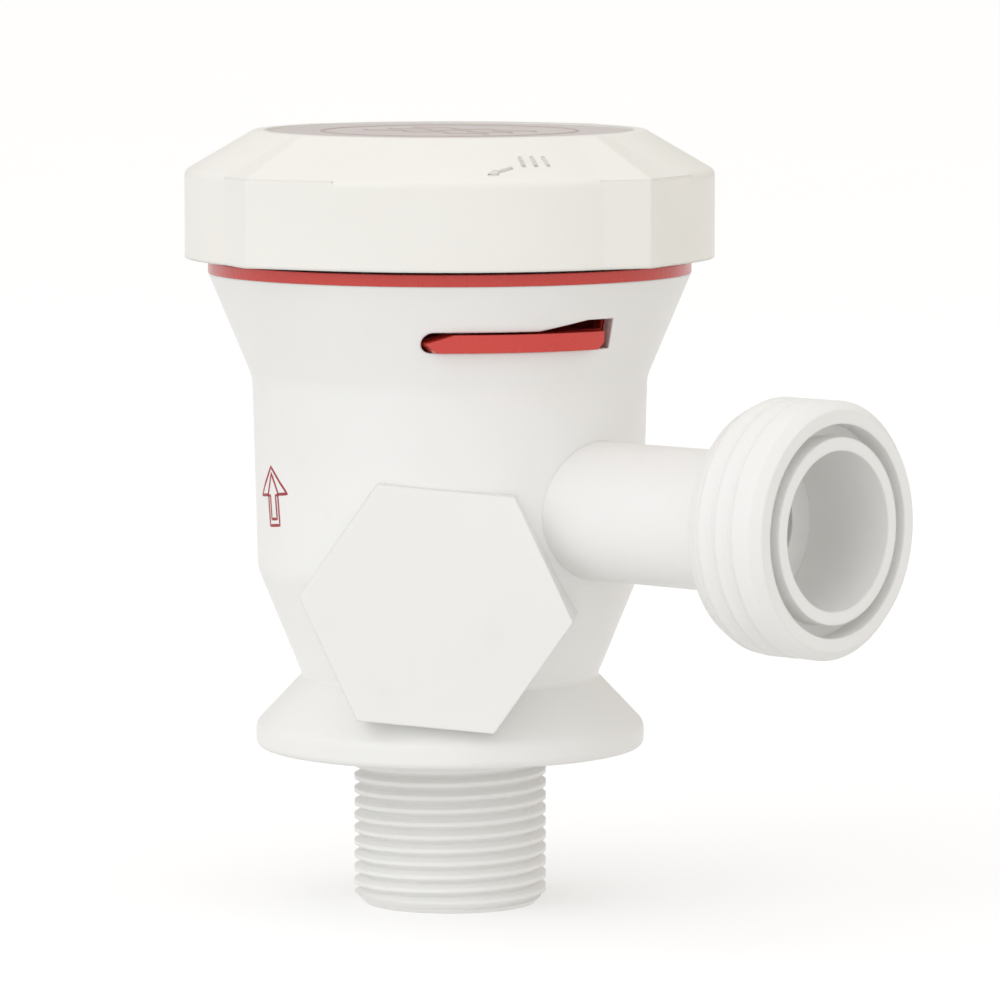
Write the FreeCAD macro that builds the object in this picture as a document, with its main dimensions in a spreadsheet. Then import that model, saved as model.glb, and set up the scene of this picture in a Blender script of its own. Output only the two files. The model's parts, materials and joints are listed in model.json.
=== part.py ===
import FreeCAD, Part
import math
import os
import Sketcher
from FreeCAD import Placement, Rotation, Vector

# A screw-down angle valve in moulded plastic. Inlet below, outlet along +X, knob on top.
# The origin is the centre of the flange's underside, +Z up, the valve closed.

# Driving sizes, in millimetres, degrees and counts.
SIZES = {
    # inlet spud, a 3/4 inch parallel pipe thread
    "spud_r": 13.22,
    "spud_length": 21.8,
    "spud_pitch": 1.814,
    "spud_thread_depth": 0.95,
    "inlet_bore_r": 9.0,
    # flange and body shell
    "flange_r": 26.7,
    "flange_rim": 3.2,
    "throat_r": 20.35,
    "throat_z": 9.9,
    "shoulder_r": 26.4,
    "shoulder_z": 24.7,
    "waist_r": 27.1,
    "waist_z": 51.0,
    "rim_r": 33.1,
    "rim_z": 65.3,
    "wall": 2.9,
    "floor_z": 6.0,
    "seat_z": 14.0,
    "seat_r": 11.3,
    # hexagonal wrench boss on the body
    "boss_flats": 32.0,
    "boss_z": 21.8,
    "boss_face": 27.2,
    "boss_azimuth": -52.3,
    "boss_roll": -5.0,
    # outlet branch, with a coarse moulded thread on its collar
    "outlet_z": 34.1,
    "outlet_length": 68.0,
    "neck_r": 9.4,
    "neck_bore_r": 6.9,
    "collar_r": 17.1,
    "collar_start": 55.3,
    "collar_pitch": 2.8,
    "collar_thread_depth": 0.55,
    "socket_r": 10.6,
    "socket_depth": 13.2,
    "core_gap_inner_r": 12.37,
    "core_gap_outer_r": 14.11,
    "core_gap_depth": 3.0,
    # snap slot in the bell of the body
    "slot_azimuth": -29.05,
    "slot_half": 13.4,
    "slot_low": 56.25,
    "slot_top": 59.05,
    "slot_high": 60.4,
    # bonnet
    "flange_top": 66.9,
    "bonnet_floor": 50.8,
    "bonnet_foot": 43.6,
    "skirt_r": 24.0,
    "tube_r": 12.2,
    "tube_bore_r": 7.9,
    "tube_foot": 41.8,
    "tube_top": 69.0,
    "lug_r": 31.0,
    # drive thread, one coarse start
    "lead": 8.0,
    "thread_middle": 37.6,
    "nut_flats": 17.0,
    "nut_low": 43.2,
    "nut_high": 53.0,
    "thread_root_r": 6.0,
    "thread_crest_r": 7.2,
    "thread_gap": 0.25,
    # spindle and gland
    "spindle_r": 4.95,
    "gland_low": 63.2,
    "gland_high": 70.6,
    "gland_ring_r": 0.9,
    # plunger
    "plunger_r": 13.4,
    "boss_top": 33.5,
    "plunger_boss_r": 8.4,
    "rubber_r": 12.4,
    "rubber_thickness": 2.9,
    # knob
    "knob_low": 67.4,
    "knob_corner": 79.2,
    "knob_top": 84.7,
    "knob_r": 36.25,
    "knob_inner_r": 33.6,
    "knob_disc_r": 26.8,
    "knob_deck": 80.2,
    "cap_r": 25.0,
    "cap_thickness": 1.2,
    "cap_recess": 0.2,
    "rib_proud_r": 38.3,
    "rib_short_side": 6.8,
    "rib_long_side": 12.4,
    "rib_azimuth": -3.8,
    "rib_count": 4,
}

doc = FreeCAD.newDocument("seacock_valve")
sheet = doc.addObject("Spreadsheet::Sheet", "Sizes")
for row, (name, number) in enumerate(SIZES.items(), start=1):
    sheet.set(f"A{row}", name)
    sheet.set(f"B{row}", str(number))
    sheet.setAlias(f"B{row}", name)
doc.recompute()


class Size:
    """A number together with the sheet expression that gives it."""

    def __init__(self, value, text):
        self.value = float(value)
        self.text = text

    def __add__(self, other):
        other = as_size(other)
        return Size(self.value + other.value, f"({self.text} + {other.text})")

    def __sub__(self, other):
        other = as_size(other)
        return Size(self.value - other.value, f"({self.text} - {other.text})")

    def __mul__(self, other):
        other = as_size(other)
        return Size(self.value * other.value, f"({self.text} * {other.text})")

    def __truediv__(self, other):
        other = as_size(other)
        return Size(self.value / other.value, f"({self.text} / {other.text})")

    def __neg__(self):
        return Size(-self.value, f"(-1 * {self.text})")

    __radd__ = __add__

    def __rsub__(self, other):
        return as_size(other) - self

    __rmul__ = __mul__


def as_size(value):
    if isinstance(value, Size):
        return value
    return Size(value, f"({value})")


class Sheet:
    """Every size by its own name, as in sizes.spud_r."""

    def __getattr__(self, name):
        return Size(SIZES[name], f"Sizes.{name}")


sizes = Sheet()
bodies = []


def bind(item, path, size):
    item.setExpression(path, as_size(size).text)


def new_body(label):
    body = doc.addObject("PartDesign::Body", label)
    body.Label = label
    body.Placement = Placement()
    bodies.append(body)
    return body


def origin_feature(body, role):
    for feature in body.Origin.OriginFeatures:
        if feature.Role == role:
            return feature
    raise ValueError(role)


def new_sketch(body, role, lift=0, azimuth=0):
    """An empty sketch on an origin plane, lifted along the plane's normal and turned about Z."""
    lift, azimuth = as_size(lift), as_size(azimuth)
    axis = Vector(0, 0, 1) if role == "XY_Plane" else Vector(0, 1, 0)
    sketch = body.newObject("Sketcher::SketchObject", "outline")
    sketch.AttachmentSupport = [(origin_feature(body, role), "")]
    sketch.MapMode = "FlatFace"
    sketch.AttachmentOffset = Placement(Vector(0, 0, lift.value), Rotation(axis, azimuth.value))
    bind(sketch, "AttachmentOffset.Base.z", lift)
    bind(sketch, "AttachmentOffset.Rotation.Angle", azimuth)
    return sketch


def add_polygon(sketch, points):
    """Closed polygon. Each corner is held by its two distances from the sketch's origin."""
    corners = [(as_size(x), as_size(y)) for x, y in points]
    first = sketch.GeometryCount
    count = len(corners)
    for index in range(count):
        start = corners[index]
        end = corners[(index + 1) % count]
        line = Part.LineSegment(Vector(start[0].value, start[1].value), Vector(end[0].value, end[1].value))
        sketch.addGeometry(line, False)
    for index in range(count):
        following = first + (index + 1) % count
        sketch.addConstraint(Sketcher.Constraint("Coincident", first + index, 2, following, 1))
    for index, (x, y) in enumerate(corners):
        for kind, size in (("DistanceX", x), ("DistanceY", y)):
            number = sketch.addConstraint(Sketcher.Constraint(kind, -1, 1, first + index, 1, size.value))
            bind(sketch, f"Constraints[{number}]", size)


def add_circle(sketch, x, y, radius):
    x, y, radius = as_size(x), as_size(y), as_size(radius)
    circle = sketch.addGeometry(Part.Circle(Vector(x.value, y.value), Vector(0, 0, 1), radius.value), False)
    for kind, size in (("DistanceX", x), ("DistanceY", y)):
        number = sketch.addConstraint(Sketcher.Constraint(kind, -1, 1, circle, 3, size.value))
        bind(sketch, f"Constraints[{number}]", size)
    number = sketch.addConstraint(Sketcher.Constraint("Radius", circle, radius.value))
    bind(sketch, f"Constraints[{number}]", radius)


def side_outline(body, points):
    """Polygon of (radius, height) corners in the XZ plane."""
    sketch = new_sketch(body, "XZ_Plane")
    add_polygon(sketch, points)
    return sketch


def turned(body, sketch, kind="Revolution", axis="V_Axis"):
    """A full turn of the sketch about its own axis: Revolution adds, Groove cuts."""
    feature = body.newObject(f"PartDesign::{kind}", kind)
    feature.Profile = sketch
    feature.ReferenceAxis = (sketch, [axis])
    feature.Angle = 360
    doc.recompute()
    return feature


def turned_ring(body, low, high, inner, outer, kind="Revolution"):
    corners = [(inner, low), (outer, low), (outer, high), (inner, high)]
    return turned(body, side_outline(body, corners), kind)


def extruded(body, sketch, length, kind="Pad", backwards=False, both_ways=False):
    feature = body.newObject(f"PartDesign::{kind}", kind)
    feature.Profile = sketch
    bind(feature, "Length", length)
    feature.Reversed = backwards
    if both_ways:
        feature.SideType = "Symmetric"
    doc.recompute()
    return feature


def polar_copies(body, features, count):
    pattern = body.newObject("PartDesign::PolarPattern", "copies")
    pattern.Originals = features
    pattern.Axis = (origin_feature(body, "Z_Axis"), [""])
    pattern.Angle = 360
    pattern.Occurrences = int(as_size(count).value)
    body.Tip = pattern
    doc.recompute()
    return pattern


def rounded(body, radius, chosen):
    """Fillet on the edges of the body's last shape that the test picks."""
    last = body.Tip
    names = [f"Edge{n}" for n, edge in enumerate(last.Shape.Edges, start=1) if chosen(edge)]
    if not names:
        raise RuntimeError(f"{body.Label}: no edge to round")
    fillet = body.newObject("PartDesign::Fillet", "Rounding")
    fillet.Base = (last, names)
    bind(fillet, "Radius", radius)
    doc.recompute()
    return fillet


def circle_at(radius, height):
    """Test for a horizontal circular edge about the Z axis."""
    radius, height = as_size(radius).value, as_size(height).value

    def test(edge):
        if not isinstance(edge.Curve, Part.Circle):
            return False
        level = abs(edge.Curve.Center.z - height) < 0.01
        return level and abs(edge.Curve.Radius - radius) < 0.01 and abs(edge.Curve.Axis.z) > 0.99
    return test


def screw_thread(body, sketch, pitch, height, axis="V_Axis", kind="SubtractiveHelix"):
    """A helical ridge or groove that follows the sketched section."""
    helix = body.newObject(f"PartDesign::{kind}", "thread")
    helix.Profile = sketch
    helix.ReferenceAxis = (sketch, [axis])
    helix.Mode = "pitch-height-angle"
    bind(helix, "Pitch", pitch)
    bind(helix, "Height", height)
    helix.Angle = 0
    helix.LeftHanded = False
    body.Tip = helix
    doc.recompute()
    return helix


# Body shell

def thread_notch(crest, low, depth, pitch, half_angle):
    """Corners of one V notch that opens through the crest cylinder."""
    root_half = 0.1
    slope = math.tan(math.radians(half_angle))
    clear = 0.3
    mouth_half = root_half + slope * (depth + clear)
    middle = low + pitch / 2
    return [
        (crest - depth, middle - root_half),
        (crest + clear, middle - mouth_half),
        (crest + clear, middle + mouth_half),
        (crest - depth, middle + root_half),
    ]


def add_outer_shell(body):
    end_chamfer = 1.5
    outline = side_outline(body, [
        (0, -sizes.spud_length),
        (sizes.spud_r - end_chamfer, -sizes.spud_length),
        (sizes.spud_r, -sizes.spud_length + end_chamfer),
        (sizes.spud_r, 0),
        (sizes.flange_r, 0),
        (sizes.flange_r, sizes.flange_rim),
        (sizes.throat_r, sizes.throat_z),
        (sizes.shoulder_r, sizes.shoulder_z),
        (sizes.waist_r, sizes.waist_z),
        (sizes.rim_r, sizes.rim_z),
        (0, sizes.rim_z),
    ])
    turned(body, outline)
    for radius, corner_r, corner_z in (
        (1.0, sizes.flange_r, 0),
        (2.0, sizes.flange_r, sizes.flange_rim),
        (0.6, sizes.throat_r, sizes.throat_z),
        (4.0, sizes.shoulder_r, sizes.shoulder_z),
        (4.0, sizes.waist_r, sizes.waist_z),
    ):
        rounded(body, radius, circle_at(corner_r, corner_z))


branch_start = 15.0


def outlet_outline(body, points):
    """Polygon of (distance along the outlet, radius) corners about the outlet's axis."""
    sketch = new_sketch(body, "XZ_Plane")
    sketch.AttachmentOffset = Placement(Vector(0, sizes.outlet_z.value, 0), Rotation())
    bind(sketch, "AttachmentOffset.Base.y", sizes.outlet_z)
    add_polygon(sketch, points)
    return sketch


def add_outlet_branch(body):
    flare_start = sizes.collar_start - 3.2
    flare_end = sizes.collar_start - 1.6
    flare_r = sizes.socket_r + 1.7
    back_edge = 0.5
    back_r = sizes.collar_r - 1.1
    widest = sizes.collar_start + 2.7
    front_edge = 1.2
    outline = outlet_outline(body, [
        (branch_start, 0),
        (branch_start, sizes.neck_r),
        (flare_start, sizes.neck_r),
        (flare_end, flare_r),
        (sizes.collar_start, flare_r),
        (sizes.collar_start, back_r - back_edge),
        (sizes.collar_start + back_edge, back_r),
        (widest, sizes.collar_r),
        (sizes.outlet_length - front_edge, sizes.collar_r),
        (sizes.outlet_length, sizes.collar_r - front_edge),
        (sizes.outlet_length, 0),
    ])
    turned(body, outline, axis="H_Axis")


def add_wrench_bosses(body):
    sketch = new_sketch(body, "YZ_Plane", azimuth=sizes.boss_azimuth)
    corner_distance = sizes.boss_flats / math.sqrt(3)
    corners = []
    for index in range(6):
        turn = math.radians(60 * index + SIZES["boss_roll"])
        corners.append((corner_distance * math.cos(turn), sizes.boss_z + corner_distance * math.sin(turn)))
    add_polygon(sketch, corners)
    pad = extruded(body, sketch, sizes.boss_face)
    polar_copies(body, [pad], 2)


def hollow_chamber(body):
    low = -sizes.spud_length - 1
    seal_r = sizes.skirt_r + 0.1
    turned(body, side_outline(body, [
        (0, low),
        (sizes.inlet_bore_r, low),
        (sizes.inlet_bore_r, sizes.seat_z),
        (sizes.seat_r, sizes.seat_z),
        (sizes.seat_r, sizes.floor_z),
        (sizes.throat_r - sizes.wall - 0.6, sizes.floor_z),
        (sizes.throat_r - sizes.wall, sizes.throat_z),
        (sizes.shoulder_r - sizes.wall, sizes.shoulder_z),
        (sizes.waist_r - sizes.wall - 0.8, sizes.bonnet_foot - 1),
        (seal_r, sizes.bonnet_foot),
        (seal_r, sizes.bonnet_floor),
        (sizes.rim_r - sizes.wall, sizes.rim_z),
        (sizes.rim_r - sizes.wall, sizes.rim_z + 1),
        (0, sizes.rim_z + 1),
    ]), "Groove")


def hollow_outlet(body):
    end = sizes.outlet_length + 1
    step = sizes.outlet_length - sizes.socket_depth
    turned(body, outlet_outline(body, [
        (branch_start, 0),
        (branch_start, sizes.neck_bore_r),
        (step, sizes.neck_bore_r),
        (step, sizes.socket_r),
        (end, sizes.socket_r),
        (end, 0),
    ]), "Groove", "H_Axis")
    gap_floor = sizes.outlet_length - sizes.core_gap_depth
    turned(body, outlet_outline(body, [
        (gap_floor, sizes.core_gap_inner_r),
        (end, sizes.core_gap_inner_r),
        (end, sizes.core_gap_outer_r),
        (gap_floor, sizes.core_gap_outer_r),
    ]), "Groove", "H_Axis")


def cut_snap_slots(body):
    """Two slots, pulled straight out. One end is round, and the top edge ramps up to the other."""
    ramp_start, ramp_end = 2.0, 9.2
    reach = 40
    end_r = (sizes.slot_top - sizes.slot_low) / 2
    round_centre = -sizes.slot_half + end_r
    slot = new_sketch(body, "YZ_Plane", azimuth=sizes.slot_azimuth)
    add_polygon(slot, [
        (round_centre, sizes.slot_low),
        (sizes.slot_half, sizes.slot_low),
        (sizes.slot_half, sizes.slot_high),
        (ramp_end, sizes.slot_high),
        (ramp_start, sizes.slot_top),
        (round_centre, sizes.slot_top),
    ])
    straight = extruded(body, slot, reach, "Pocket", backwards=True)
    end = new_sketch(body, "YZ_Plane", azimuth=sizes.slot_azimuth)
    add_circle(end, round_centre, sizes.slot_low + end_r, end_r)
    round_end = extruded(body, end, reach, "Pocket", backwards=True)
    polar_copies(body, [straight, round_end], 2)


def cut_threads(body):
    pipe_half_angle = 27.5
    low = -sizes.spud_length - 2 * sizes.spud_pitch
    notch = thread_notch(sizes.spud_r, low, sizes.spud_thread_depth, sizes.spud_pitch, pipe_half_angle)
    screw_thread(body, side_outline(body, notch), sizes.spud_pitch,
                 sizes.spud_length + 0.5 * sizes.spud_pitch)
    # The collar's ridges are shallow and broad, and stop short of its front edge.
    collar_half_angle = 50
    turns = 3.7
    back = sizes.collar_start - 0.93 * sizes.collar_pitch
    notch = thread_notch(sizes.collar_r, back, sizes.collar_thread_depth, sizes.collar_pitch,
                         collar_half_angle)
    sketch = outlet_outline(body, [(along, radius) for radius, along in notch])
    screw_thread(body, sketch, sizes.collar_pitch, turns * sizes.collar_pitch, "H_Axis")


def valve_body():
    body = new_body("valve_body")
    add_outer_shell(body)
    add_outlet_branch(body)
    add_wrench_bosses(body)
    hollow_chamber(body)
    hollow_outlet(body)
    cut_snap_slots(body)
    cut_threads(body)


# Bonnet, nut and gland

def add_bonnet_bowl(body):
    gap = 0.2
    skin = 2.3
    groove_low = sizes.bonnet_foot + 1.8
    groove_high = groove_low + 2.1
    groove_r = sizes.skirt_r - 2.0
    inner_foot = sizes.skirt_r - 3.6
    slope = (sizes.rim_r - sizes.wall - sizes.skirt_r) / (sizes.rim_z - sizes.bonnet_floor)
    bowl_floor = sizes.bonnet_floor + 2.4
    turned(body, side_outline(body, [
        (sizes.tube_bore_r, sizes.tube_foot),
        (sizes.tube_r, sizes.tube_foot),
        (sizes.tube_r, sizes.bonnet_floor),
        (inner_foot, sizes.bonnet_floor),
        (inner_foot, sizes.bonnet_foot),
        (sizes.skirt_r, sizes.bonnet_foot),
        (sizes.skirt_r, groove_low),
        (groove_r, groove_low),
        (groove_r, groove_high),
        (sizes.skirt_r, groove_high),
        (sizes.skirt_r, sizes.bonnet_floor + 0.4),
        (sizes.rim_r - sizes.wall - gap, sizes.rim_z),
        (sizes.rim_r, sizes.rim_z),
        (sizes.rim_r, sizes.flange_top),
        (sizes.rim_r - sizes.wall - gap - skin + slope, sizes.flange_top),
        (sizes.skirt_r - skin + slope * 2, bowl_floor),
        (sizes.tube_r - 1.0, bowl_floor),
        (sizes.tube_r - 1.0, sizes.tube_top),
        (sizes.tube_bore_r, sizes.tube_top),
    ]))


def add_snap_lugs(body):
    """Two lugs in the wall, trimmed to one radius, with their corners cut back and a sloping lead."""
    foot = sizes.slot_low + 0.1
    top = foot + 2.4
    leading = -sizes.slot_half + 0.5
    trailing = sizes.slot_half - 1.5
    lead, corner, beyond = 3.4, 1.0, 0.5
    root_r, blank_r, reach = 25.5, 33.0, 34
    blank = new_sketch(body, "XY_Plane", lift=foot, azimuth=sizes.slot_azimuth)
    add_polygon(blank, [(root_r, leading), (blank_r, leading), (blank_r, trailing), (root_r, trailing)])
    lug = extruded(body, blank, top - foot)
    trim = new_sketch(body, "YZ_Plane", azimuth=sizes.slot_azimuth)
    add_polygon(trim, [
        (leading - beyond, foot + 1.3),
        (leading, foot + 1.3),
        (leading + lead, top),
        (leading + lead, top + beyond),
        (leading - beyond, top + beyond),
    ])
    for side, end in ((1, leading), (-1, trailing)):
        add_polygon(trim, [
            (end - side * beyond, foot - beyond),
            (end + side * corner, foot - beyond),
            (end + side * corner, foot),
            (end, foot + corner),
            (end - side * beyond, foot + corner),
        ])
    trimmed = extruded(body, trim, reach, "Pocket", backwards=True)
    window = new_sketch(body, "YZ_Plane", azimuth=sizes.slot_azimuth)
    window_low = top + 0.02
    window_end = trailing + 1.2
    add_polygon(window, [
        (leading, window_low),
        (window_end, window_low),
        (window_end, sizes.slot_high),
        (leading, sizes.slot_high),
    ])
    opened = extruded(body, window, reach, "Pocket", backwards=True)
    polar_copies(body, [lug, trimmed, opened], 2)
    turned_ring(body, foot - 0.2, top + 0.2, sizes.lug_r, blank_r + 3, "Groove")


def add_guide_legs(body):
    """Two slotted legs that keep the plunger from turning."""
    leg_foot = 28.6
    inner, outer, half, slot_end, slot_half = 13.0, 19.0, 4.0, 16.8, 1.7
    sketch = new_sketch(body, "XY_Plane", lift=leg_foot)
    for side in (1, -1):
        add_polygon(sketch, [
            (-half, side * inner),
            (-slot_half, side * inner),
            (-slot_half, side * slot_end),
            (slot_half, side * slot_end),
            (slot_half, side * inner),
            (half, side * inner),
            (half, side * outer),
            (-half, side * outer),
        ])
    extruded(body, sketch, sizes.bonnet_floor + 1 - leg_foot)


def add_bowl_ribs(body):
    foot = sizes.bonnet_floor + 2.0
    top = sizes.flange_top - 2.5
    for azimuth in (20, 61, 102, 200, 241, 282):
        sketch = new_sketch(body, "XZ_Plane", azimuth=azimuth)
        add_polygon(sketch, [
            (sizes.tube_r - 2.0, foot),
            (22.8, foot),
            (27.2, top),
            (sizes.tube_r - 2.0, top),
        ])
        extruded(body, sketch, 1.6, both_ways=True)


def cut_nut_pocket(body):
    sketch = new_sketch(body, "XY_Plane", lift=sizes.tube_foot - 1)
    add_polygon(sketch, hexagon(sizes.nut_flats + 0.1))
    extruded(body, sketch, sizes.nut_high - sizes.tube_foot + 1, "Pocket", backwards=True)
    clear_r = 9.95
    turned_ring(body, sizes.tube_foot - 1, sizes.nut_low, 5, clear_r, "Groove")
    turned_ring(body, sizes.nut_low - 1.15, sizes.nut_low - 0.05, 5, 10.6, "Groove")


def hexagon(flats):
    reach = as_size(flats) / math.sqrt(3)
    turns = [math.radians(60 * index) for index in range(6)]
    return [(reach * math.cos(turn), reach * math.sin(turn)) for turn in turns]


def bonnet():
    body = new_body("bonnet")
    add_bonnet_bowl(body)
    add_bowl_ribs(body)
    add_snap_lugs(body)
    add_guide_legs(body)
    cut_nut_pocket(body)


def ring_torus(label, heights, middle_r, section_r):
    """One or more round rubber rings about the axis, as one node."""
    rings = []
    for height in heights:
        ring = doc.addObject("Part::Torus", f"{label}_ring")
        bind(ring, "Radius1", middle_r)
        bind(ring, "Radius2", section_r)
        bind(ring, "Placement.Base.z", height)
        rings.append(ring)
    if len(rings) == 1:
        rings[0].Label = label
        bodies.append(rings[0])
        return
    group = doc.addObject("Part::Compound", label)
    group.Links = rings
    group.Label = label
    bodies.append(group)


def bonnet_o_ring():
    section = as_size(0.98)
    ring_torus("bonnet_o_ring", [sizes.bonnet_foot + 2.85], sizes.skirt_r - 1.0, section)


def drive_section(middle, inner_r, outer_r, gap):
    """Section of the drive thread's one broad ridge, widened by the gap on both flanks."""
    inner_half = 1.9 + gap
    outer_half = 1.5 + gap
    return [
        (inner_r, middle - inner_half),
        (outer_r, middle - outer_half),
        (outer_r, middle + outer_half),
        (inner_r, middle + inner_half),
    ]


def spindle_nut():
    body = new_body("spindle_nut")
    sketch = new_sketch(body, "XY_Plane", lift=sizes.nut_low)
    add_polygon(sketch, hexagon(sizes.nut_flats))
    add_circle(sketch, 0, 0, sizes.thread_root_r + sizes.thread_gap)
    extruded(body, sketch, sizes.nut_high - sizes.nut_low)
    middle = sizes.thread_middle - sizes.lead
    sketch = side_outline(body, drive_section(middle, sizes.thread_root_r,
                                              sizes.thread_crest_r + sizes.thread_gap, 0.3))
    screw_thread(body, sketch, sizes.lead, 4 * sizes.lead)


def nut_circlip():
    body = new_body("nut_circlip")
    split_ring(body, sizes.nut_low - 1.1, 8.2, 10.5, 2.5)


def split_ring(body, low, inner, outer, gap_half):
    """A flat spring ring with a gap on its +X side."""
    thickness, beyond = 1.0, 0.5
    sketch = new_sketch(body, "XY_Plane", lift=low)
    add_circle(sketch, 0, 0, outer)
    add_circle(sketch, 0, 0, inner)
    extruded(body, sketch, thickness)
    gap = new_sketch(body, "XY_Plane", lift=low - beyond)
    add_polygon(gap, [
        (inner - 1, -gap_half),
        (outer + beyond, -gap_half),
        (outer + beyond, gap_half),
        (inner - 1, gap_half),
    ])
    extruded(body, gap, thickness + 2 * beyond, "Pocket", backwards=True)


def gland_bush():
    body = new_body("gland_bush")
    bore = sizes.spindle_r + 0.08
    groove_r = sizes.spindle_r + 2 * sizes.gland_ring_r + 0.05
    head_r, head_edge = 10.4, 0.4
    low, high = sizes.gland_low, sizes.gland_high
    turned(body, side_outline(body, [
        (bore, low),
        (sizes.tube_bore_r - 0.05, low),
        (sizes.tube_bore_r - 0.05, sizes.tube_top),
        (head_r, sizes.tube_top),
        (head_r, high - head_edge),
        (head_r - head_edge, high),
        (bore, high),
        (bore, high - 1.2),
        (groove_r, high - 1.2),
        (groove_r, high - 3.1),
        (bore, high - 3.1),
        (bore, low + 3.0),
        (groove_r, low + 3.0),
        (groove_r, low + 1.1),
        (bore, low + 1.1),
    ]))


def gland_o_rings():
    heights = [sizes.gland_low + 2.05, sizes.gland_high - 2.15]
    middle_r = sizes.spindle_r + sizes.gland_ring_r + 0.04
    ring_torus("gland_o_rings", heights, middle_r, sizes.gland_ring_r - 0.02)


# Plunger and its rubber

def plunger():
    body = new_body("plunger")
    lip = 14.8
    rubber_top = sizes.seat_z + 0.05 + sizes.rubber_thickness
    screw_hole_r = 1.9
    disc_top = 20.0
    bore_floor = 22.5
    bore_r = sizes.spindle_r + 0.2
    clip_groove_r, clip_low, clip_high = 6.6, 24.4, 27.2
    turned(body, side_outline(body, [
        (screw_hole_r, rubber_top),
        (sizes.rubber_r + 0.05, rubber_top),
        (sizes.rubber_r + 0.05, lip),
        (sizes.plunger_r, lip),
        (sizes.plunger_r, disc_top - 1),
        (sizes.plunger_r - 1, disc_top),
        (sizes.plunger_boss_r, disc_top),
        (sizes.plunger_boss_r, sizes.boss_top),
        (bore_r, sizes.boss_top),
        (bore_r, clip_high),
        (clip_groove_r, clip_high),
        (clip_groove_r, clip_low),
        (bore_r, clip_low),
        (bore_r, bore_floor),
        (screw_hole_r, bore_floor),
    ]))
    fins = new_sketch(body, "XY_Plane", lift=disc_top - 0.5)
    half, inner, outer = 1.35, 7.2, 16.4
    for side in (1, -1):
        near, far = side * inner, side * outer
        add_polygon(fins, [(-half, near), (half, near), (half, far), (-half, far)])
    extruded(body, fins, sizes.boss_top - disc_top)


def seat_washer():
    body = new_body("seat_washer")
    low = sizes.seat_z + 0.05
    turned_ring(body, low, low + sizes.rubber_thickness, 2.0, sizes.rubber_r)


def seat_washer_plate():
    body = new_body("seat_washer_plate")
    top = sizes.seat_z + 0.05
    turned_ring(body, top - 1.2, top, 2.0, 7.2)
    rounded(body, 0.4, circle_at(7.2, top - 1.2))


def seat_screw():
    body = new_body("seat_screw")
    top = sizes.seat_z + 0.05 - 1.2
    pan_head_screw(body, top, 8.2, 1.85, 3.6, 2.2, -1)


def pan_head_screw(body, seat, reach, shank_r, head_r, head_height, side):
    """A screw whose head stands on side * Z of the seat, with a hexagon socket in it."""
    turned(body, side_outline(body, [
        (0, seat - side * reach),
        (shank_r - 0.5, seat - side * reach),
        (shank_r, seat - side * (reach - 0.5)),
        (shank_r, seat),
        (head_r, seat),
        (head_r, seat + side * (head_height - 0.6)),
        (head_r - 0.6, seat + side * head_height),
        (0, seat + side * head_height),
    ]))
    sketch = new_sketch(body, "XY_Plane", lift=seat + side * head_height)
    add_polygon(sketch, hexagon(2.5))
    extruded(body, sketch, 1.3, "Pocket", backwards=side < 0)


# Spindle and knob

def spindle():
    body = new_body("spindle")
    foot, foot_edge = 22.9, 0.5
    clip_groove_r, clip_low, clip_high = 4.0, 24.8, 26.0
    screw_low, screw_high = 34.7, 53.4
    square_low, square_top, square_half = 71.4, 79.0, 3.45
    screw_hole_r, screw_hole_floor = 1.95, 67.5
    turned(body, side_outline(body, [
        (0, foot),
        (sizes.spindle_r - foot_edge, foot),
        (sizes.spindle_r, foot + foot_edge),
        (sizes.spindle_r, clip_low),
        (clip_groove_r, clip_low),
        (clip_groove_r, clip_high),
        (sizes.spindle_r, clip_high),
        (sizes.spindle_r, screw_low),
        (sizes.thread_root_r, screw_low),
        (sizes.thread_root_r, screw_high),
        (sizes.spindle_r, screw_high),
        (sizes.spindle_r, square_low),
        (0, square_low),
    ]))
    square = new_sketch(body, "XY_Plane", lift=square_low)
    add_polygon(square, [
        (square_half, -square_half),
        (square_half, square_half),
        (-square_half, square_half),
        (-square_half, -square_half),
    ])
    extruded(body, square, square_top - square_low)
    turned_ring(body, screw_hole_floor, square_top + 1, 0, screw_hole_r, "Groove")
    section = drive_section(sizes.thread_middle, sizes.thread_root_r - 0.3, sizes.thread_crest_r, 0)
    sketch = side_outline(body, section)
    screw_thread(body, sketch, sizes.lead, 1.6 * sizes.lead, kind="AdditiveHelix")


def swivel_clip():
    body = new_body("swivel_clip")
    split_ring(body, 24.9, 4.05, 6.0, 1.5)


def thrust_washer():
    body = new_body("thrust_washer")
    turned_ring(body, sizes.boss_top + 0.2, sizes.boss_top + 1.15, sizes.spindle_r + 0.05, 7.5)


def travel_stop_ring():
    body = new_body("travel_stop_ring")
    turned_ring(body, 53.45, 54.9, sizes.spindle_r + 0.03, 7.2)


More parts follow.
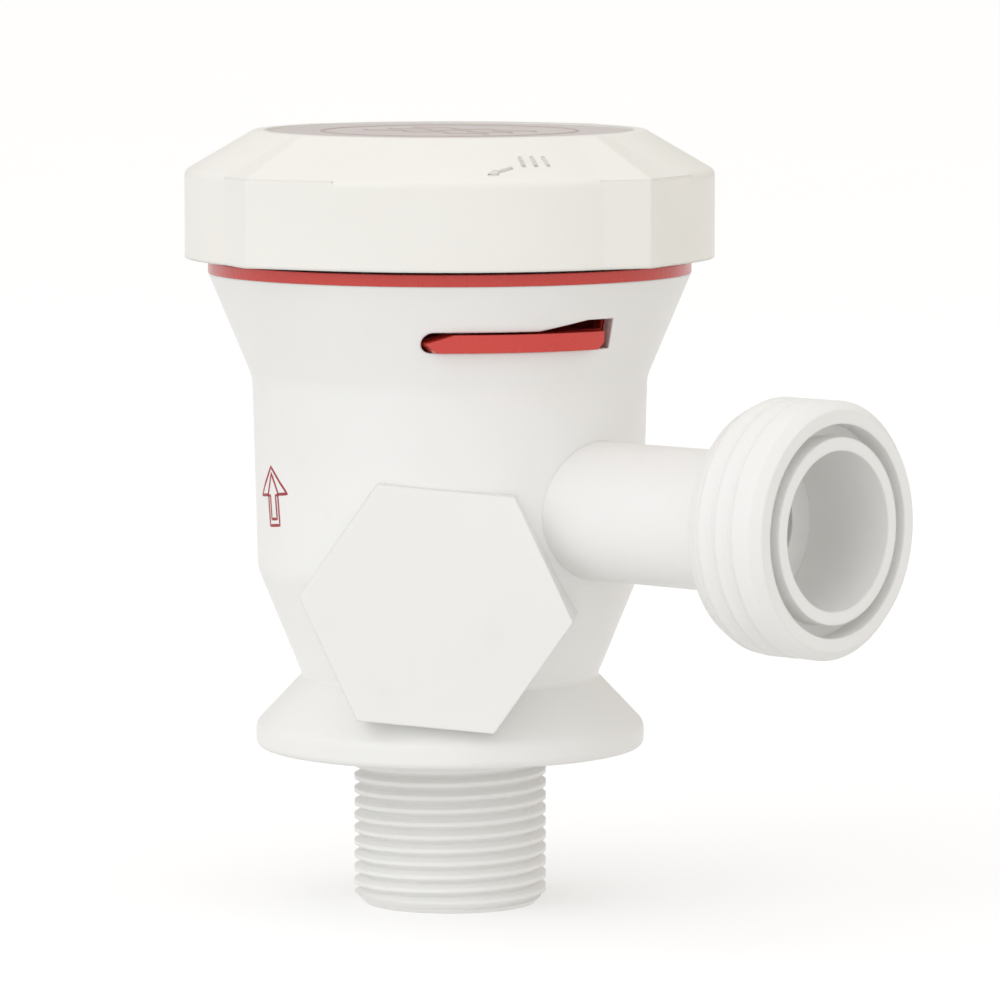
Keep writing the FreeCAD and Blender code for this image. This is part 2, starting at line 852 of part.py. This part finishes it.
def add_knob_shell(body):
    cap_seat = sizes.knob_top - sizes.cap_thickness
    hub_r = 9.0
    hub_low = 71.6
    socket_r = 6.5
    socket_top = 79.6
    pocket_r = 5.5
    pocket_floor = 80.5
    clip_inner, clip_outer, clip_floor = 19.8, 21.5, 82.1
    turned(body, side_outline(body, [
        (sizes.knob_r, sizes.knob_low),
        (sizes.knob_r, sizes.knob_corner),
        (sizes.knob_disc_r, sizes.knob_top),
        (sizes.cap_r + 0.15, sizes.knob_top),
        (sizes.cap_r + 0.15, cap_seat),
        (clip_outer, cap_seat),
        (clip_outer, clip_floor),
        (clip_inner, clip_floor),
        (clip_inner, cap_seat),
        (pocket_r, cap_seat),
        (pocket_r, pocket_floor),
        (2.15, pocket_floor),
        (2.15, socket_top),
        (socket_r, socket_top),
        (socket_r, hub_low),
        (hub_r, hub_low),
        (hub_r, sizes.knob_deck - 0.4),
        (29.0, sizes.knob_deck - 0.4),
        (sizes.knob_inner_r, sizes.knob_corner - 2.2),
        (sizes.knob_inner_r, sizes.knob_low),
    ]))
    rounded(body, 1.2, circle_at(sizes.knob_r, sizes.knob_corner))
    rounded(body, 0.7, circle_at(sizes.knob_disc_r, sizes.knob_top))


def rib_section():
    """Corners of one grip rib across its length: short foot, arris, long foot and a hidden back."""
    back = 33.4
    short, long = sizes.rib_short_side, sizes.rib_long_side
    foot_r = SIZES["knob_r"] - 0.05
    short_foot = math.sqrt(foot_r ** 2 - SIZES["rib_short_side"] ** 2)
    long_foot = math.sqrt(foot_r ** 2 - SIZES["rib_long_side"] ** 2)
    return [(back, -short), (short_foot, -short), (sizes.rib_proud_r, 0), (long_foot, long), (back, long)]


def add_grip_ribs(body):
    """Each rib stands on the wall and carries on up the chamfer with the same section."""
    sketch = new_sketch(body, "XY_Plane", lift=sizes.knob_low, azimuth=sizes.rib_azimuth)
    add_polygon(sketch, rib_section())
    wall_rib = extruded(body, sketch, sizes.knob_corner - sizes.knob_low + 0.05)
    run = sizes.rib_proud_r - sizes.knob_disc_r - 0.9
    low = new_sketch(body, "XY_Plane", lift=sizes.knob_corner, azimuth=sizes.rib_azimuth)
    add_polygon(low, rib_section())
    high = new_sketch(body, "XY_Plane", lift=sizes.knob_top, azimuth=sizes.rib_azimuth)
    add_polygon(high, [(radius - run, across) for radius, across in rib_section()])
    loft = body.newObject("PartDesign::AdditiveLoft", "chamfer_rib")
    loft.Profile = low
    loft.Sections = [high]
    loft.Ruled = True
    doc.recompute()
    polar_copies(body, [wall_rib, loft], sizes.rib_count)


def recut_cap_seat(body):
    """The ribs end at the disc, so the seat for the cap is cleared again."""
    turned_ring(body, sizes.knob_top - sizes.cap_thickness, sizes.knob_top + 1,
                10, sizes.cap_r + 0.15, "Groove")


def knob():
    body = new_body("knob")
    add_knob_shell(body)
    add_grip_ribs(body)
    recut_cap_seat(body)


def knob_drive_insert():
    body = new_body("knob_drive_insert")
    sketch = new_sketch(body, "XY_Plane", lift=71.6)
    add_circle(sketch, 0, 0, 6.45)
    add_polygon(sketch, [(3.5, -3.5), (3.5, 3.5), (-3.5, 3.5), (-3.5, -3.5)])
    extruded(body, sketch, 7.9)


def knob_screw():
    body = new_body("knob_screw")
    pan_head_screw(body, 81.1, 13.0, 1.9, 3.7, 2.2, 1)


def knob_screw_washer():
    body = new_body("knob_screw_washer")
    turned_ring(body, 80.5, 81.1, 2.1, 5.2)


def knob_cap():
    body = new_body("knob_cap")
    low = sizes.knob_top - sizes.cap_thickness
    top = sizes.knob_top - sizes.cap_recess
    clip_inner, clip_outer, clip_depth = 19.95, 21.35, 1.2
    turned(body, side_outline(body, [
        (0, low),
        (clip_inner, low),
        (clip_inner, low - clip_depth),
        (clip_outer, low - clip_depth),
        (clip_outer, low),
        (sizes.cap_r, low),
        (sizes.cap_r, top - 0.2),
        (sizes.cap_r - 0.2, top),
        (0, top),
    ]))


def build():
    for sub_part in (
        valve_body, bonnet, bonnet_o_ring, spindle_nut, nut_circlip, gland_bush, gland_o_rings,
        plunger, seat_washer, seat_washer_plate, seat_screw,
        spindle, swivel_clip, thrust_washer, travel_stop_ring,
        knob, knob_drive_insert, knob_screw, knob_screw_washer, knob_cap,
    ):
        sub_part()
        doc.recompute()
        print(bodies[-1].Label, round(bodies[-1].Shape.Volume, 1), len(bodies[-1].Shape.Solids))


def check():
    for item in doc.Objects:
        if "Invalid" in item.State or "Error" in item.State:
            raise RuntimeError(f"{item.Label} ({item.Name}) failed: {item.State}")
    for body in bodies:
        if body.Shape.isNull() or not body.Shape.isValid():
            raise RuntimeError(f"{body.Label} has no valid shape")


build()
check()
os.makedirs("parts", exist_ok=True)
for body in bodies:
    body.Shape.exportStep(f"parts/{body.Label}.step")
print(len(bodies), "sub-parts")
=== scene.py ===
import bpy
import bmesh
import json
import math
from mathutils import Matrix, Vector


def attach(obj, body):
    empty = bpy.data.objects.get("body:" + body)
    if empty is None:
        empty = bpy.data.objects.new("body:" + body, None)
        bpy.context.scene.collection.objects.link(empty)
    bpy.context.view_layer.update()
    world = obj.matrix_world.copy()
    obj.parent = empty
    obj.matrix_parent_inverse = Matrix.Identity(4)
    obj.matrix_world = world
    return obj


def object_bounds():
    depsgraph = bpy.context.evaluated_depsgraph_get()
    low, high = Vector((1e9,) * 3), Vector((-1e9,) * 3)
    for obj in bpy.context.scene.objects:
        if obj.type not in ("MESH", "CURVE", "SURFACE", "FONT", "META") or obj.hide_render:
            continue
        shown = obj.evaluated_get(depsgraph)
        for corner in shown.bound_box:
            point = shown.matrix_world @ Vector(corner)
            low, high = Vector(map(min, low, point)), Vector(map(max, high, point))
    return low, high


# A plastic screw-down valve. Every shell comes from the frame; this script gives each node its
# finish and adds the moulded and printed marks, the light and the camera.

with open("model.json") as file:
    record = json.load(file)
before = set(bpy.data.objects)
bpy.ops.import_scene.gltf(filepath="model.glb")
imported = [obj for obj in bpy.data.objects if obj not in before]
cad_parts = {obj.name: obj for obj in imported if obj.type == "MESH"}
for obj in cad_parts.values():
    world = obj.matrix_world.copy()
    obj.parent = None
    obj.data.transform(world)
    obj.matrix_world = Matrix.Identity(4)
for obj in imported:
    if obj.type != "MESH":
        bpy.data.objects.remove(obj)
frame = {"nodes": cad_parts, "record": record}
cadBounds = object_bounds()
nodes = frame["nodes"]
mm = 0.001
noiseSpan = (0.3, 0.7)      # the band that a noise texture mostly stays in
bevelSamples = 6
print("frame loaded:", len(nodes), "nodes")


def addNode(tree, kind, settings=None, **sockets):
    made = tree.nodes.new(kind)
    for name, value in (settings or {}).items():
        setattr(made, name, value)
    for name, value in sockets.items():
        socket = made.inputs[name.replace("_", " ")]
        if isinstance(value, bpy.types.NodeSocket):
            tree.links.new(value, socket)
        else:
            socket.default_value = value
    return made


def emptyMaterial(name):
    material = bpy.data.materials.new(name)
    material.use_nodes = True
    material.node_tree.nodes.clear()
    return material, material.node_tree


def noiseOf(tree, place, scale, detail=3.0, roughness=0.5):
    noise = addNode(tree, "ShaderNodeTexNoise", Vector=place, Scale=scale, Detail=detail,
                    Roughness=roughness)
    return noise.outputs["Fac"]


def remap(tree, value, low, high, toLow, toHigh):
    spread = addNode(tree, "ShaderNodeMapRange")
    tree.links.new(value, spread.inputs["Value"])
    spread.inputs["From Min"].default_value = low
    spread.inputs["From Max"].default_value = high
    spread.inputs["To Min"].default_value = toLow
    spread.inputs["To Max"].default_value = toHigh
    return spread.outputs["Result"]


def mixColour(tree, factor, first, second):
    mix = addNode(tree, "ShaderNodeMix", {"data_type": "RGBA"})
    tree.links.new(factor, mix.inputs[0])
    for socket, value in ((mix.inputs[6], first), (mix.inputs[7], second)):
        if isinstance(value, bpy.types.NodeSocket):
            tree.links.new(value, socket)
        else:
            socket.default_value = (*value, 1.0)
    return mix.outputs[2]


def softNormal(tree, radius):
    # the surface normal with every edge rounded by the radius
    return addNode(tree, "ShaderNodeBevel", {"samples": bevelSamples}, Radius=radius).outputs["Normal"]


def edgeMask(tree, soft, sharpness):
    # how far the softened normal turns away from the true one, so 1 on an edge
    geometry = addNode(tree, "ShaderNodeNewGeometry")
    dot = addNode(tree, "ShaderNodeVectorMath", {"operation": "DOT_PRODUCT"})
    tree.links.new(soft, dot.inputs[0])
    tree.links.new(geometry.outputs["Normal"], dot.inputs[1])
    return remap(tree, dot.outputs["Value"], 1.0, 1.0 - sharpness, 0.0, 1.0)


def finish(tree, shader):
    output = addNode(tree, "ShaderNodeOutputMaterial")
    tree.links.new(shader.outputs[0], output.inputs["Surface"])


def plasticColour(tree, place, soft, look):
    # cloudy colour with faint dirt, and worn, slightly paler edges
    clouds = remap(tree, noiseOf(tree, place, look["cloudScale"]), *noiseSpan, 0.0, 1.0)
    colour = mixColour(tree, clouds, look["colour"], look["shade"])
    grime = noiseOf(tree, place, look["dirtScale"], 6.0, 0.65)
    dirt = remap(tree, grime, *look["dirtSpan"], 0.0, look["dirt"])
    colour = mixColour(tree, dirt, colour, look["dirtColour"])
    wear = remap(tree, edgeMask(tree, soft, look["edgeTurn"]), 0.0, 1.0, 0.0, look["wear"])
    return mixColour(tree, wear, colour, look["wornColour"])


def plasticNormal(tree, place, soft, look):
    # a slow waviness of the moulding under the fine eroded grain
    grain = noiseOf(tree, place, look["grainScale"], 2.0)
    waves = noiseOf(tree, place, look["waveScale"], 2.0)
    heights = addNode(tree, "ShaderNodeMath", {"operation": "MULTIPLY_ADD"})
    tree.links.new(waves, heights.inputs[0])
    heights.inputs[1].default_value = look["waviness"]
    tree.links.new(grain, heights.inputs[2])
    bump = addNode(tree, "ShaderNodeBump", Strength=look["bump"], Distance=look["bumpDepth"],
                   Height=heights.outputs[0], Normal=soft)
    return bump.outputs["Normal"]


def mouldedPlastic(name, look):
    material, tree = emptyMaterial(name)
    place = addNode(tree, "ShaderNodeTexCoord").outputs["Object"]
    soft = softNormal(tree, look["edgeRadius"])
    smears = noiseOf(tree, place, look["smearScale"], 4.0)
    rough = remap(tree, smears, *noiseSpan, look["roughness"] - 0.05, look["roughness"] + 0.06)
    shader = addNode(tree, "ShaderNodeBsdfPrincipled", Roughness=rough,
                     Base_Color=plasticColour(tree, place, soft, look),
                     Normal=plasticNormal(tree, place, soft, look))
    shader.inputs["IOR"].default_value = look["ior"]
    shader.inputs["Subsurface Weight"].default_value = look["subsurface"]
    shader.inputs["Subsurface Radius"].default_value = look["scatter"]
    shader.inputs["Subsurface Scale"].default_value = look["scatterScale"]
    shader.inputs["Coat Weight"].default_value = look["coat"]
    shader.inputs["Coat Roughness"].default_value = look["coatRoughness"]
    finish(tree, shader)
    return material


def turnedMetal(name, look):
    # lathe lines round the axis, cloudy stain, brighter edges
    material, tree = emptyMaterial(name)
    place = addNode(tree, "ShaderNodeTexCoord").outputs["Object"]
    soft = softNormal(tree, look["edgeRadius"])
    stretch = addNode(tree, "ShaderNodeMapping", Vector=place, Scale=look["latheScale"])
    lines = noiseOf(tree, stretch.outputs["Vector"], 1.0, 3.0)
    stain = noiseOf(tree, place, look["stainScale"], 5.0)
    stained = remap(tree, stain, *look["stainSpan"], 0.0, 1.0)
    colour = mixColour(tree, stained, look["colour"], look["shade"])
    wear = remap(tree, edgeMask(tree, soft, look["edgeTurn"]), 0.0, 1.0, 0.0, look["wear"])
    colour = mixColour(tree, wear, colour, look["wornColour"])
    bump = addNode(tree, "ShaderNodeBump", Strength=look["bump"], Distance=look["bumpDepth"],
                   Height=lines, Normal=soft)
    rough = remap(tree, stain, *noiseSpan, look["roughness"], look["roughness"] + 0.15)
    shader = addNode(tree, "ShaderNodeBsdfPrincipled", Base_Color=colour, Roughness=rough,
                     Normal=bump.outputs["Normal"])
    shader.inputs["Metallic"].default_value = 1.0
    shader.inputs["Anisotropic"].default_value = look["anisotropy"]
    finish(tree, shader)
    return material


def blackRubber(name, look):
    # matt compound with a dusty bloom and a fine pitted skin
    material, tree = emptyMaterial(name)
    place = addNode(tree, "ShaderNodeTexCoord").outputs["Object"]
    bloom = noiseOf(tree, place, look["bloomScale"], 6.0, 0.7)
    dusty = remap(tree, bloom, *look["bloomSpan"], 0.0, look["bloomShare"])
    colour = mixColour(tree, dusty, look["colour"], look["bloom"])
    pits = noiseOf(tree, place, look["pitScale"], 2.0)
    bump = addNode(tree, "ShaderNodeBump", Strength=look["bump"], Distance=look["bumpDepth"],
                   Height=pits)
    rough = remap(tree, bloom, *noiseSpan, *look["roughSpan"])
    shader = addNode(tree, "ShaderNodeBsdfPrincipled", Base_Color=colour, Roughness=rough,
                     Normal=bump.outputs["Normal"])
    finish(tree, shader)
    return material


plasticLook = {
    "edgeRadius": 0.0004, "edgeTurn": 0.35, "wear": 0.35,
    "cloudScale": 38.0,
    "dirt": 0.10, "dirtColour": (0.55, 0.52, 0.47), "dirtScale": 152.0, "dirtSpan": (0.62, 0.85),
    "grainScale": 2600.0, "waveScale": 90.0, "waviness": 2.0, "bump": 0.10, "bumpDepth": 0.00004,
    "roughness": 0.36, "smearScale": 260.0, "ior": 1.49,
    "subsurface": 0.12, "scatter": (1.0, 0.9, 0.75), "scatterScale": 0.0015,
    "coat": 0.0, "coatRoughness": 0.12,
}
whiteBody = {**plasticLook, "colour": (0.875, 0.875, 0.865), "shade": (0.85, 0.85, 0.835),
             "wornColour": (0.91, 0.91, 0.90)}
whiteKnob = {**plasticLook, "colour": (0.87, 0.86, 0.82), "shade": (0.84, 0.83, 0.785),
             "wornColour": (0.90, 0.89, 0.86), "roughness": 0.33, "edgeRadius": 0.0008}
greyCap = {**plasticLook, "colour": (0.60, 0.55, 0.54), "shade": (0.56, 0.51, 0.50),
           "wornColour": (0.68, 0.64, 0.62), "roughness": 0.42}
redBonnet = {**plasticLook, "colour": (0.66, 0.048, 0.036), "shade": (0.60, 0.038, 0.028), "dirt": 0.04,
             "wornColour": (0.74, 0.16, 0.12), "roughness": 0.26, "subsurface": 0.06, "coat": 0.2,
             "dirtColour": (0.30, 0.03, 0.03), "edgeRadius": 0.00025}
acetal = {**plasticLook, "colour": (0.78, 0.77, 0.72), "shade": (0.74, 0.73, 0.68),
          "wornColour": (0.84, 0.83, 0.80), "roughness": 0.40}
metalLook = {
    "edgeRadius": 0.00015, "edgeTurn": 0.4, "wear": 0.5,
    "latheScale": (40.0, 40.0, 9000.0), "bump": 0.35, "bumpDepth": 0.00002, "anisotropy": 0.4,
    "stainScale": 240.0, "stainSpan": (0.35, 0.7),
}
brass = {**metalLook, "colour": (0.62, 0.43, 0.16), "shade": (0.45, 0.30, 0.12),
         "wornColour": (0.80, 0.62, 0.32), "roughness": 0.28}
stainless = {**metalLook, "colour": (0.60, 0.60, 0.59), "shade": (0.50, 0.50, 0.50),
             "wornColour": (0.80, 0.80, 0.80), "roughness": 0.24}
inkLook = {**plasticLook, "dirt": 0.0, "subsurface": 0.0, "edgeRadius": 0.00005}
redInk = {**inkLook, "colour": (0.30, 0.012, 0.022), "shade": (0.42, 0.03, 0.035),
          "wornColour": (0.45, 0.06, 0.06), "roughness": 0.45}
capInk = {**inkLook, "colour": (0.50, 0.42, 0.40), "shade": (0.46, 0.38, 0.36),
          "wornColour": (0.56, 0.50, 0.48), "roughness": 0.5}
rubber = {
    "colour": (0.018, 0.018, 0.019), "bloom": (0.055, 0.053, 0.05), "bloomShare": 0.6,
    "bloomScale": 180.0, "bloomSpan": (0.45, 0.75), "roughSpan": (0.6, 0.85),
    "pitScale": 4200.0, "bump": 0.4, "bumpDepth": 0.00003,
}

finishes = {
    "body_white": mouldedPlastic("whiteBody", whiteBody),
    "knob_white": mouldedPlastic("whiteKnob", whiteKnob),
    "cap_grey": mouldedPlastic("greyCap", greyCap),
    "bonnet_red": mouldedPlastic("redBonnet", redBonnet),
    "acetal": mouldedPlastic("acetal", acetal),
    "rubber": blackRubber("blackRubber", rubber),
    "brass": turnedMetal("brass", brass),
    "stainless": turnedMetal("stainless", stainless),
    "spindle_steel": turnedMetal("spindleSteel", stainless),
    "redInk": mouldedPlastic("redInk", redInk),
    "capInk": mouldedPlastic("capInk", capInk),
}

for entry in frame["record"]["subparts"]:
    node = nodes[entry["node"]]
    node.data.materials.clear()
    node.data.materials.append(finishes[entry["material_slot"]])
print("finishes on the nodes:", len(finishes))


# Marks: ribbons of ink or raised moulding that follow the surface of a node.

ribbon = {"footDepth": 0.04, "crestShare": 0.7, "outside": 60.0, "above": 120.0}


def hitNode(node, start, aim):
    hit = node.ray_cast(start, (aim - start).normalized())
    if not hit[0]:
        raise RuntimeError("no surface of " + node.name + " under a mark")
    return hit[1], hit[2]


def onWall(node, azimuth, height):
    # azimuth in degrees, height in millimetres
    turn = math.radians(azimuth)
    outside = ribbon["outside"] * mm
    start = Vector((math.cos(turn) * outside, math.sin(turn) * outside, height * mm))
    return hitNode(node, start, Vector((0, 0, height * mm)))


def onTop(node, azimuth, radius):
    turn = math.radians(azimuth)
    above = ribbon["above"] * mm
    start = Vector((math.cos(turn) * radius * mm, math.sin(turn) * radius * mm, above))
    return hitNode(node, start, Vector((start.x, start.y, 0)))


def buildRibbon(mesh, samples, widths, rise, closed):
    # a low bank along the samples: two sunk feet and a narrower crest
    rows = []
    count = len(samples)
    for index, (place, normal) in enumerate(samples):
        before = samples[(index - 1) % count if closed else max(index - 1, 0)][0]
        after = samples[(index + 1) % count if closed else min(index + 1, count - 1)][0]
        side = normal.cross(after - before).normalized()
        reach = side * (widths[index] / 2 * mm)
        narrow = reach * ribbon["crestShare"]
        foot = normal * ribbon["footDepth"] * mm
        crest = normal * rise * mm
        corners = (place - reach - foot, place - narrow + crest,
                   place + narrow + crest, place + reach - foot)
        rows.append([mesh.verts.new(corner) for corner in corners])
    for index in range(count if closed else count - 1):
        row, following = rows[index], rows[(index + 1) % count]
        for corner in range(4):
            ahead = (corner + 1) % 4
            mesh.faces.new((row[corner], row[ahead], following[ahead], following[corner]))
    if not closed:
        mesh.faces.new(reversed(rows[0]))
        mesh.faces.new(rows[-1])


def addMark(name, strokes, rise, finishName, body):
    # strokes: (samples, widths, closed), joined in one piece
    mesh = bmesh.new()
    for samples, widths, closed in strokes:
        buildRibbon(mesh, samples, widths, rise, closed)
    bmesh.ops.recalc_face_normals(mesh, faces=mesh.faces)
    data = bpy.data.meshes.new(name)
    mesh.to_mesh(data)
    mesh.free()
    data.materials.append(finishes[finishName])
    mark = bpy.data.objects.new(name, data)
    bpy.context.scene.collection.objects.link(mark)
    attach(mark, body)


def denser(corners, closed, step):
    # points along the straight lines between the corners
    points = []
    count = len(corners)
    for index in range(count if closed else count - 1):
        start, end = Vector(corners[index]), Vector(corners[(index + 1) % count])
        pieces = max(1, round((end - start).length / step))
        points += [start.lerp(end, piece / pieces) for piece in range(pieces)]
    if not closed:
        points.append(Vector(corners[-1]))
    return points


bodyPrint = {
    "azimuth": -112.5, "height": 35.5, "tilt": 6.0, "wallRadius": 26.6,
    "shaft": 1.5, "barb": 4.1, "tall": 4.0, "neck": 0.2, "inset": 1.25,
    "shaftInset": 0.55, "barbInset": 1.9, "tallInset": 0.7, "neckInset": 0.1,
    "line": 0.5, "rise": 0.03, "step": 0.5,
}


def outlinedArrow(inset):
    # an upward arrow about its middle, in millimetres, drawn inwards by the inset
    look = bodyPrint
    shaft = look["shaft"] - inset * look["shaftInset"]
    barb = look["barb"] - inset * look["barbInset"]
    tall = look["tall"] - inset * look["tallInset"]
    neck = look["neck"] - inset * look["neckInset"]
    return [(-shaft, -tall), (shaft, -tall), (shaft, neck), (barb, neck),
            (0, tall), (-barb, neck), (-shaft, neck)]


def addBodyPrint():
    look = bodyPrint
    wall = nodes["valve_body"]
    around = math.degrees(1 / look["wallRadius"])      # degrees for one millimetre round the body
    lean = math.radians(look["tilt"])
    strokes = []
    for inset in (0.0, look["inset"]):
        samples = []
        for point in denser(outlinedArrow(inset), True, look["step"]):
            across = point.x * math.cos(lean) - point.y * math.sin(lean)
            up = point.x * math.sin(lean) + point.y * math.cos(lean)
            samples.append(onWall(wall, look["azimuth"] + across * around, look["height"] + up))
        strokes.append((samples, [look["line"]] * len(samples), True))
    addMark("body_print", strokes, look["rise"], "redInk", "body")


turnArrow = {
    "azimuths": (-40.0, -34.0), "radii": (34.6, 33.2), "line": 0.5, "headWidth": 1.7, "headLength": 2.4,
    "rise": 0.2, "point": 0.12, "steps": 12,
    "ticks": (-31.0, -28.0, -25.0), "tickRadii": (31.0, 33.0), "tickSteps": 3, "turns": (0, 180),
}


def slopeLine(shell, azimuths, radii, steps):
    # samples on the knob's slope between two places
    samples = []
    for step in range(steps + 1):
        part = step / steps
        azimuth = azimuths[0] + (azimuths[1] - azimuths[0]) * part
        samples.append(onTop(shell, azimuth, radii[0] + (radii[1] - radii[0]) * part))
    return samples


def addTurnArrows():
    # a raised arrow and three short bars on the slope, on two opposite sides
    look = turnArrow
    shell = nodes["knob"]
    steps = look["steps"]
    first, last = look["azimuths"]
    strokes = []
    for turn in look["turns"]:
        samples = slopeLine(shell, (turn + first, turn + last), look["radii"], steps)
        widths = []
        for step in range(steps + 1):
            along = (last - first) * step / steps
            head = look["headWidth"] * along / look["headLength"]
            widths.append(look["line"] if along > look["headLength"] else max(look["point"], head))
        strokes.append((samples, widths, False))
        for azimuth in look["ticks"]:
            azimuths = (turn + azimuth, turn + azimuth)
            samples = slopeLine(shell, azimuths, look["tickRadii"], look["tickSteps"])
            strokes.append((samples, [look["line"]] * len(samples), False))
    addMark("turn_arrows", strokes, look["rise"], "knob_white", "knob")


capEmblem = {
    "ring": 17.5, "ringWidth": 0.5, "ringSteps": 72,
    "waves": (-5.0, 0.0, 5.0), "reach": 11.0, "swell": 1.1, "waveLength": 7.4, "waveSteps": 48,
    "line": 0.8, "rise": 0.09,
}


def addCapEmblem():
    look = capEmblem
    disc = nodes["knob_cap"]
    count = look["ringSteps"]
    around = [onTop(disc, 360 * step / count, look["ring"]) for step in range(count)]
    strokes = [(around, [look["ringWidth"]] * count, True)]
    for offset in look["waves"]:
        samples = []
        steps = look["waveSteps"]
        for step in range(steps + 1):
            x = look["reach"] * (2 * step / steps - 1)
            y = offset + look["swell"] * math.sin(2 * math.pi * x / look["waveLength"])
            samples.append(onTop(disc, math.degrees(math.atan2(y, x)), math.hypot(x, y)))
        strokes.append((samples, [look["line"]] * len(samples), False))
    addMark("cap_emblem", strokes, look["rise"], "capInk", "knob")


bpy.context.view_layer.update()
addBodyPrint()
addTurnArrows()
addCapEmblem()
print("marks made")

studio = {
    "floorSize": 12.0,
    "floorColour": (0.785, 0.79, 0.80),
    "floorCloud": 0.02,
    "floorCloudScale": 3.0,
    "floorGlow": 0.25,
    "skyMiddle": 0.865,
    "skySwing": 0.24,
    "skyAzimuth": -25.0,
    "skyHeight": 25.0,
    "lightSide": (1.0, 1.0, 1.0),
    "darkSide": (1.0, 0.955, 0.89),
}
white = (1.0, 1.0, 1.0)
# each lamp: degrees round from the camera, distance and height in metres, size, watts, colour
lamps = {
    "keyLight": (-45.0, 1.1, 0.75, 0.8, 1.6, white),
    "fillLight": (75.0, 1.4, 0.45, 1.0, 0.5, (1.0, 0.74, 0.46)),
    "topLight": (138.3, 0.1, 1.3, 1.0, 0.6, white),
}


def addFloor():
    lowest = cadBounds[0].z
    half = studio["floorSize"] / 2
    mesh = bpy.data.meshes.new("floor")
    corners = [(-half, -half, lowest), (half, -half, lowest), (half, half, lowest), (-half, half, lowest)]
    mesh.from_pydata(corners, [], [(0, 1, 2, 3)])
    floor = bpy.data.objects.new("floor", mesh)
    bpy.context.scene.collection.objects.link(floor)
    material, tree = emptyMaterial("floorPaint")
    place = addNode(tree, "ShaderNodeTexCoord").outputs["Object"]
    cloud = noiseOf(tree, place, studio["floorCloudScale"])
    lighter = tuple(min(1.0, part + studio["floorCloud"]) for part in studio["floorColour"])
    colour = mixColour(tree, cloud, studio["floorColour"], lighter)
    shader = addNode(tree, "ShaderNodeBsdfPrincipled", Base_Color=colour, Roughness=0.9)
    shader.inputs["Emission Color"].default_value = (1.0, 1.0, 1.0, 1.0)
    shader.inputs["Emission Strength"].default_value = studio["floorGlow"]
    finish(tree, shader)
    mesh.materials.append(material)
    floor.visible_diffuse = False


def addArea(name, place, aim, size, power, colour):
    light = bpy.data.lights.new(name, "AREA")
    light.size = size
    light.energy = power
    light.color = colour
    lamp = bpy.data.objects.new(name, light)
    lamp.location = place
    lamp.rotation_mode = "QUATERNION"
    lamp.rotation_quaternion = (aim - place).to_track_quat("-Z", "Y")
    bpy.context.scene.collection.objects.link(lamp)


# the camera's own place: distance and height in metres, angles in degrees
view = {
    "azimuth": 41.7, "distance": 0.9167, "height": 0.1248, "pitch": 5.67, "yaw": 0.43,
    "lens": 241.3, "sensor": 36.0, "nearest": 0.01, "farthest": 50.0,
}


def aroundAxis(azimuth, distance, height):
    turn = math.radians(azimuth)
    return Vector((math.sin(turn) * distance, -math.cos(turn) * distance, height))


def addCamera():
    data = bpy.data.cameras.new("camera")
    data.lens = view["lens"]
    data.sensor_width = view["sensor"]
    data.clip_start = view["nearest"]
    data.clip_end = view["farthest"]
    camera = bpy.data.objects.new("camera", data)
    camera.location = aroundAxis(view["azimuth"], view["distance"], view["height"])
    heading = math.radians(view["azimuth"] - view["yaw"])
    camera.rotation_euler = (math.radians(90 - view["pitch"]), 0, heading)
    bpy.context.scene.collection.objects.link(camera)
    bpy.context.scene.camera = camera


def addSky():
    # a white tent, brightest towards the key light and warmer on the far side
    world = bpy.data.worlds.new("studio")
    bpy.context.scene.world = world
    world.use_nodes = True
    tree = world.node_tree
    background = tree.nodes["Background"]
    rise = math.radians(studio["skyHeight"])
    level = aroundAxis(view["azimuth"] + studio["skyAzimuth"], math.cos(rise), 0)
    towards = addNode(tree, "ShaderNodeVectorMath", {"operation": "DOT_PRODUCT"})
    tree.links.new(addNode(tree, "ShaderNodeTexCoord").outputs["Generated"], towards.inputs[0])
    towards.inputs[1].default_value = (level.x, level.y, math.sin(rise))
    cosine = towards.outputs["Value"]
    middle, swing = studio["skyMiddle"], studio["skySwing"]
    strength = remap(tree, cosine, -1.0, 1.0, middle - swing, middle + swing)
    tree.links.new(strength, background.inputs["Strength"])
    warmth = remap(tree, cosine, -1.0, 1.0, 0.0, 1.0)
    tint = mixColour(tree, warmth, studio["darkSide"], studio["lightSide"])
    tree.links.new(tint, background.inputs["Color"])


def addLamps():
    middle = (cadBounds[0] + cadBounds[1]) / 2
    for name, (around, distance, height, size, power, colour) in lamps.items():
        place = aroundAxis(view["azimuth"] + around, distance, height)
        addArea(name, place, middle, size, power, colour)


addFloor()
addSky()
addLamps()
addCamera()
bpy.context.scene.view_settings.view_transform = "Standard"
print("floor, light and camera made")
